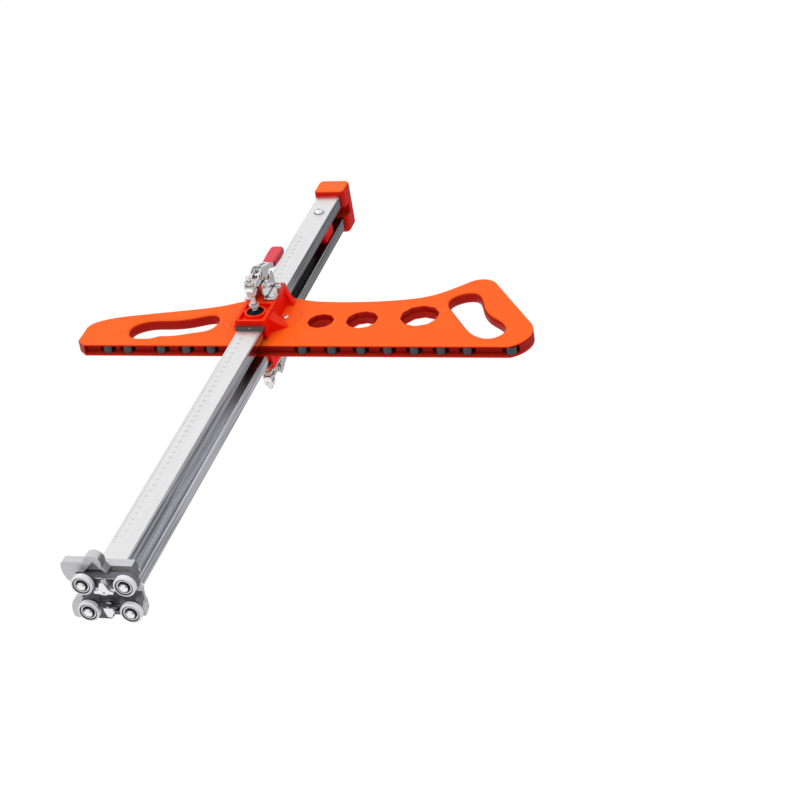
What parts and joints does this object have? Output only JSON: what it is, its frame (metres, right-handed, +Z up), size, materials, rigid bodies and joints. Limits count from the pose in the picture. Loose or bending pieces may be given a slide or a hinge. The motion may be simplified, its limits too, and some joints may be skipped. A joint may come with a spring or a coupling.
{
  "type": "tile cutter",
  "caption": "Hand-held double-rail tile edge cutter with wheeled scoring heads, a sliding carriage with toggle clamps and a folding roller fence.",
  "frame": {"origin": "midway between the upper and lower scoring wheels, in the middle of the tile slot", "axes": "+X along the open fence towards its D-handle, +Y along the rails from the heads to the end yoke, +Z up through the upper rail"},
  "size_m": [0.5412, 0.8354, 0.15],
  "materials": {
    "rail_steel": "polished stainless, satin top face with an etched scale",
    "yoke_orange": "moulded, slightly glossy",
    "stop_red": "moulded",
    "screw_steel": "bright zinc plated",
    "cast_alloy": "bead-blasted casting",
    "carrier_alloy": "dark bead-blasted casting",
    "fork_steel": "bright machined",
    "carbide": "ground",
    "white_nylon": "satin white nylon",
    "bearing_steel": "ground ring with black seal",
    "saddle_red": "moulded, slightly glossy",
    "glide_grey": "satin",
    "zinc_plate": "zinc-plated pressed steel",
    "spindle_zinc": "zinc-plated thread",
    "rivet_steel": "plated",
    "black_rubber": "matt",
    "grip_red": "dipped vinyl",
    "fence_orange": "painted, satin gloss",
    "pin_steel": "ground",
    "roller_steel": "dark ground steel"
  },
  "bodies": {
    "frame": {"upper_rail": "rail_steel", "lower_rail": "rail_steel", "end_yoke": "yoke_orange", "spacer_block": "stop_red", "spacer_bolt": "screw_steel", "upper_head": "cast_alloy", "lower_head": "cast_alloy", "upper_wheel_carrier": "carrier_alloy", "lower_wheel_carrier": "carrier_alloy", "upper_scoring_holder": "fork_steel", "lower_scoring_holder": "fork_steel", "wheel_axles": "screw_steel", "head_screws": "screw_steel"},
    "carriage": {"upper_saddle": "saddle_red", "lower_saddle": "saddle_red", "glide_pads": "glide_grey", "upper_pressure_pad": "black_rubber", "lower_pressure_pad": "black_rubber", "saddle_screws": "screw_steel", "upper_clamp_base": "zinc_plate", "lower_clamp_base": "zinc_plate", "clamp_base_screws": "screw_steel", "clamp_rivets": "rivet_steel"},
    "fence": {"arm_top_shell": "fence_orange", "arm_bottom_shell": "fence_orange", "roller_pins": "pin_steel", "shell_screws": "screw_steel"},
    "upper_bar": {"upper_clamp_bar": "zinc_plate", "upper_clamp_spindle": "spindle_zinc"},
    "upper_lever": {"upper_clamp_lever": "zinc_plate", "upper_clamp_grip": "grip_red"},
    "upper_links": {"upper_clamp_links": "zinc_plate"},
    "lower_bar": {"lower_clamp_bar": "zinc_plate", "lower_clamp_spindle": "spindle_zinc"},
    "lower_lever": {"lower_clamp_lever": "zinc_plate", "lower_clamp_grip": "grip_red"},
    "lower_links": {"lower_clamp_links": "zinc_plate"},
    "upper_left_wheel": {"upper_left_tyre": "white_nylon", "upper_left_bearing": "bearing_steel"},
    "upper_right_wheel": {"upper_right_tyre": "white_nylon", "upper_right_bearing": "bearing_steel"},
    "lower_left_wheel": {"lower_left_tyre": "white_nylon", "lower_left_bearing": "bearing_steel"},
    "lower_right_wheel": {"lower_right_tyre": "white_nylon", "lower_right_bearing": "bearing_steel"},
    "upper_scorer": {"upper_scoring_wheel": "carbide"},
    "lower_scorer": {"lower_scoring_wheel": "carbide"},
    "roller_01": {"fence_roller_01": "roller_steel"},
    "roller_02": {"fence_roller_02": "roller_steel"},
    "roller_03": {"fence_roller_03": "roller_steel"},
    "roller_04": {"fence_roller_04": "roller_steel"},
    "roller_05": {"fence_roller_05": "roller_steel"},
    "roller_06": {"fence_roller_06": "roller_steel"},
    "roller_07": {"fence_roller_07": "roller_steel"},
    "roller_08": {"fence_roller_08": "roller_steel"},
    "roller_09": {"fence_roller_09": "roller_steel"},
    "roller_10": {"fence_roller_10": "roller_steel"},
    "roller_11": {"fence_roller_11": "roller_steel"},
    "roller_12": {"fence_roller_12": "roller_steel"},
    "roller_13": {"fence_roller_13": "roller_steel"}
  },
  "joints": [
    {"name": "carriage_slide", "type": "slide", "parent": "frame", "child": "carriage", "axis": [0, 1, 0], "range_m": [-0.273, 0.105]},
    {"name": "fence_fold", "type": "hinge", "parent": "carriage", "child": "fence", "pos_m": [0, 0.526, 0], "axis": [0, 0, 1], "range_deg": [0, 60]},
    {"name": "upper_bar_lift", "type": "hinge", "parent": "carriage", "child": "upper_bar", "pos_m": [-0.002, 0.527, 0.049], "axis": [-1, 0, 0], "range_deg": [0, 42]},
    {"name": "upper_lever_swing", "type": "hinge", "parent": "upper_bar", "child": "upper_lever", "pos_m": [-0.002, 0.528, 0.062], "axis": [1, 0, 0], "range_deg": [0, 80]},
    {"name": "upper_link_swing", "type": "hinge", "parent": "carriage", "child": "upper_links", "pos_m": [-0.002, 0.551, 0.047], "axis": [-1, 0, 0], "range_deg": [0, 58]},
    {"name": "lower_bar_lift", "type": "hinge", "parent": "carriage", "child": "lower_bar", "pos_m": [-0.002, 0.527, -0.049], "axis": [1, 0, 0], "range_deg": [0, 42]},
    {"name": "lower_lever_swing", "type": "hinge", "parent": "lower_bar", "child": "lower_lever", "pos_m": [-0.002, 0.528, -0.062], "axis": [-1, 0, 0], "range_deg": [0, 80]},
    {"name": "lower_link_swing", "type": "hinge", "parent": "carriage", "child": "lower_links", "pos_m": [-0.002, 0.551, -0.047], "axis": [1, 0, 0], "range_deg": [0, 58]},
    {"name": "upper_left_wheel_spin", "type": "hinge", "parent": "frame", "child": "upper_left_wheel", "pos_m": [-0.0224, 0, 0.016], "axis": [0, 1, 0], "continuous": true},
    {"name": "upper_right_wheel_spin", "type": "hinge", "parent": "frame", "child": "upper_right_wheel", "pos_m": [0.0224, 0, 0.016], "axis": [0, 1, 0], "continuous": true},
    {"name": "lower_left_wheel_spin", "type": "hinge", "parent": "frame", "child": "lower_left_wheel", "pos_m": [-0.0224, 0, -0.016], "axis": [0, 1, 0], "continuous": true},
    {"name": "lower_right_wheel_spin", "type": "hinge", "parent": "frame", "child": "lower_right_wheel", "pos_m": [0.0224, 0, -0.016], "axis": [0, 1, 0], "continuous": true},
    {"name": "upper_scorer_spin", "type": "hinge", "parent": "frame", "child": "upper_scorer", "pos_m": [0, 0, 0.0087], "axis": [0, 1, 0], "continuous": true},
    {"name": "lower_scorer_spin", "type": "hinge", "parent": "frame", "child": "lower_scorer", "pos_m": [0, 0, -0.0087], "axis": [0, 1, 0], "continuous": true},
    {"name": "roller_01_spin", "type": "hinge", "parent": "fence", "child": "roller_01", "pos_m": [-0.1785, 0.4676, 0], "axis": [0, 0, 1], "continuous": true},
    {"name": "roller_02_spin", "type": "hinge", "parent": "fence", "child": "roller_02", "pos_m": [-0.1535, 0.4676, 0], "axis": [0, 0, 1], "continuous": true},
    {"name": "roller_03_spin", "type": "hinge", "parent": "fence", "child": "roller_03", "pos_m": [-0.1115, 0.4676, 0], "axis": [0, 0, 1], "continuous": true},
    {"name": "roller_04_spin", "type": "hinge", "parent": "fence", "child": "roller_04", "pos_m": [-0.0805, 0.4676, 0], "axis": [0, 0, 1], "continuous": true},
    {"name": "roller_05_spin", "type": "hinge", "parent": "fence", "child": "roller_05", "pos_m": [-0.05, 0.4676, 0], "axis": [0, 0, 1], "continuous": true},
    {"name": "roller_06_spin", "type": "hinge", "parent": "fence", "child": "roller_06", "pos_m": [0.061, 0.4676, 0], "axis": [0, 0, 1], "continuous": true},
    {"name": "roller_07_spin", "type": "hinge", "parent": "fence", "child": "roller_07", "pos_m": [0.096, 0.4676, 0], "axis": [0, 0, 1], "continuous": true},
    {"name": "roller_08_spin", "type": "hinge", "parent": "fence", "child": "roller_08", "pos_m": [0.1305, 0.4676, 0], "axis": [0, 0, 1], "continuous": true},
    {"name": "roller_09_spin", "type": "hinge", "parent": "fence", "child": "roller_09", "pos_m": [0.162, 0.4676, 0], "axis": [0, 0, 1], "continuous": true},
    {"name": "roller_10_spin", "type": "hinge", "parent": "fence", "child": "roller_10", "pos_m": [0.193, 0.4676, 0], "axis": [0, 0, 1], "continuous": true},
    {"name": "roller_11_spin", "type": "hinge", "parent": "fence", "child": "roller_11", "pos_m": [0.224, 0.4676, 0], "axis": [0, 0, 1], "continuous": true},
    {"name": "roller_12_spin", "type": "hinge", "parent": "fence", "child": "roller_12", "pos_m": [0.2545, 0.4676, 0], "axis": [0, 0, 1], "continuous": true},
    {"name": "roller_13_spin", "type": "hinge", "parent": "fence", "child": "roller_13", "pos_m": [0.304, 0.4676, 0], "axis": [0, 0, 1], "continuous": true}
  ],
  "couplings": [
    {"joint": "upper_bar_lift", "follows": "upper_lever_swing", "ratio": 0.4955},
    {"joint": "upper_link_swing", "follows": "upper_lever_swing", "ratio": 0.6582},
    {"joint": "lower_bar_lift", "follows": "lower_lever_swing", "ratio": 0.4955},
    {"joint": "lower_link_swing", "follows": "lower_lever_swing", "ratio": 0.6582}
  ]
}
